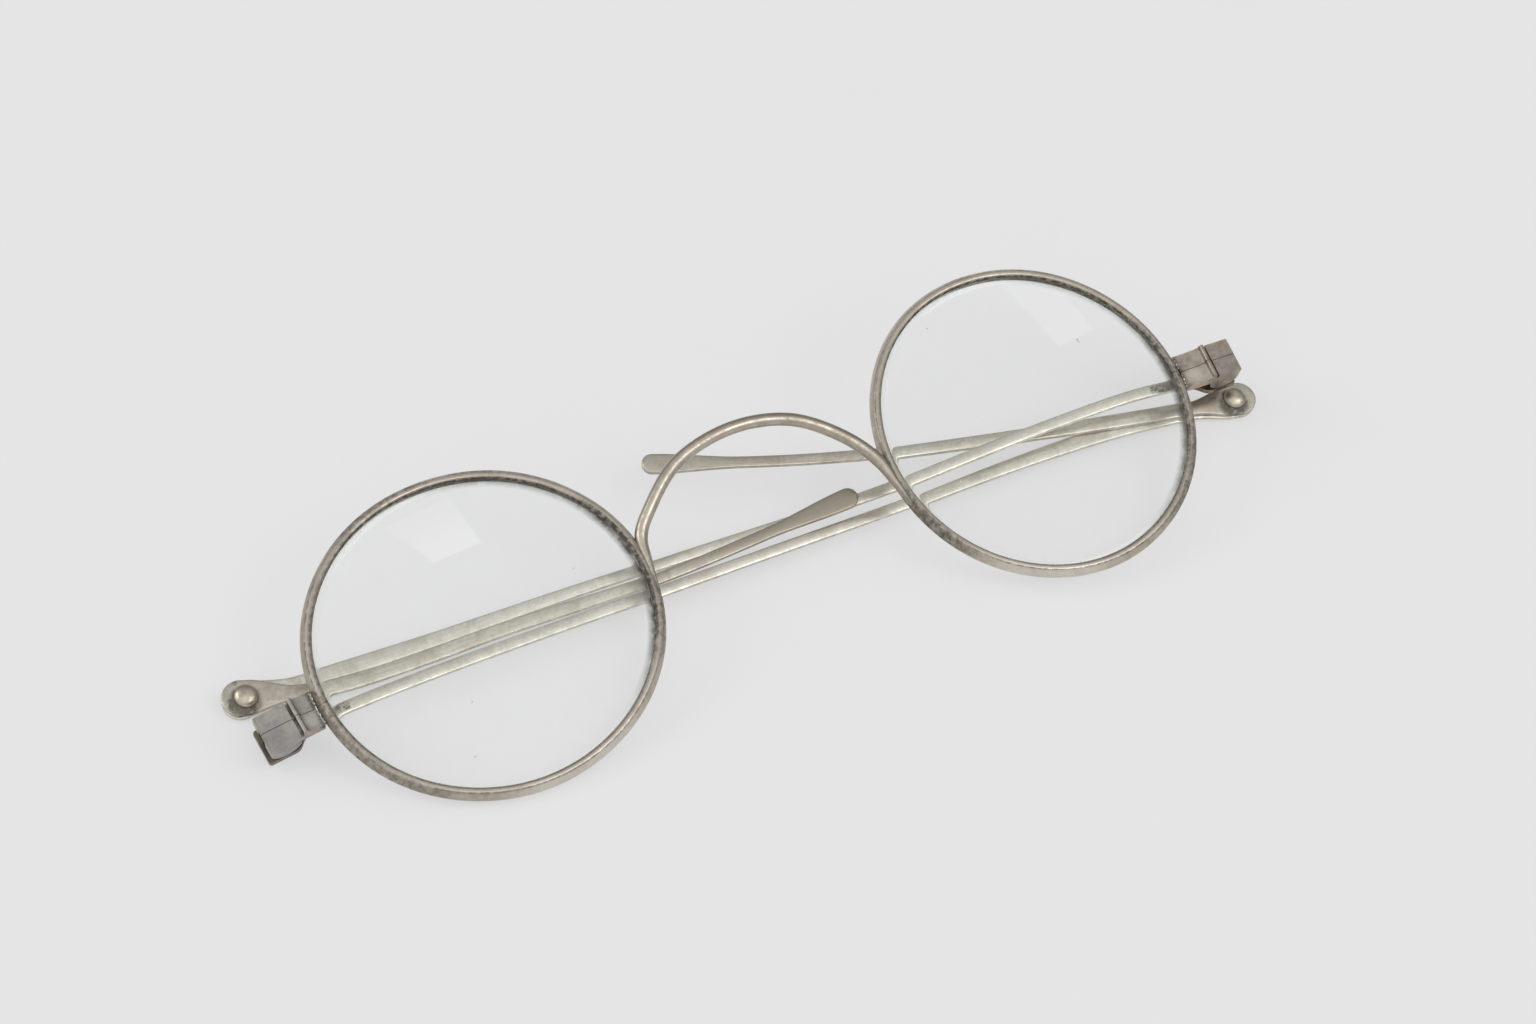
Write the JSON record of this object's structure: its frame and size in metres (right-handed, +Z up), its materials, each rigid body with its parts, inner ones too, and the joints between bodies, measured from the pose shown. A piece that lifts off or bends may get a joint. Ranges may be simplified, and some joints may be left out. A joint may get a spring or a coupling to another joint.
{
  "type": "turn-pin spectacles",
  "caption": "Round-eyed metal spectacles with an arched bridge and flat folding sides whose ends swing out on turn pins.",
  "frame": {"origin": "bottom centre of the whole part's box, on the table that the folded spectacles lie on", "axes": "+X along the front towards the eye at the viewer's right, +Y away from the viewer, +Z up, lens fronts uppermost"},
  "size_m": [0.1176, 0.0356, 0.0144],
  "materials": {
    "rim_silver": "worn silver wire, softly polished, with dark dirt along its edges",
    "block_silver": "tarnished silver with a purple-blue bloom in the corners",
    "bar_silver": "worn flat silver strip with fine drawn lines",
    "pin_silver": "worn rivet heads with grime round them",
    "lens_glass": "clear glass with a faint green edge"
  },
  "bodies": {
    "front": {"bridge": "rim_silver", "left_rim": "rim_silver", "left_lens": "lens_glass", "left_upper_lug": "block_silver", "left_lower_lug": "block_silver", "left_joint_screw": "pin_silver", "right_rim": "rim_silver", "right_lens": "lens_glass", "right_upper_lug": "block_silver", "right_lower_lug": "block_silver", "right_joint_screw": "pin_silver"},
    "left_side": {"left_side_joint": "block_silver", "left_side_bar": "bar_silver", "left_turn_pin": "pin_silver"},
    "right_side": {"right_side_joint": "block_silver", "right_side_bar": "bar_silver", "right_turn_pin": "pin_silver"},
    "left_end": {"left_extension": "bar_silver"},
    "right_end": {"right_extension": "bar_silver"}
  },
  "joints": [
    {"name": "left_hinge", "type": "hinge", "parent": "front", "child": "left_side", "pos_m": [-0.05518, -0.00105, 0.00425], "axis": [-0.1084, 0.9465, 0.304], "range_deg": [0, 90]},
    {"name": "right_hinge", "type": "hinge", "parent": "front", "child": "right_side", "pos_m": [0.05413, -0.00108, 0.00706], "axis": [-0.0484, -0.9498, -0.3091], "range_deg": [0, 90]},
    {"name": "left_turn", "type": "hinge", "parent": "left_side", "child": "left_end", "pos_m": [0.05622, -0.00233, 0.0016], "axis": [0.0245, 0.3082, -0.951], "range_deg": [0, 172]},
    {"name": "right_turn", "type": "hinge", "parent": "right_side", "child": "right_end", "pos_m": [-0.05624, 0.00662, 0.0016], "axis": [-0.0245, -0.3082, 0.951], "range_deg": [0, 180]}
  ]
}
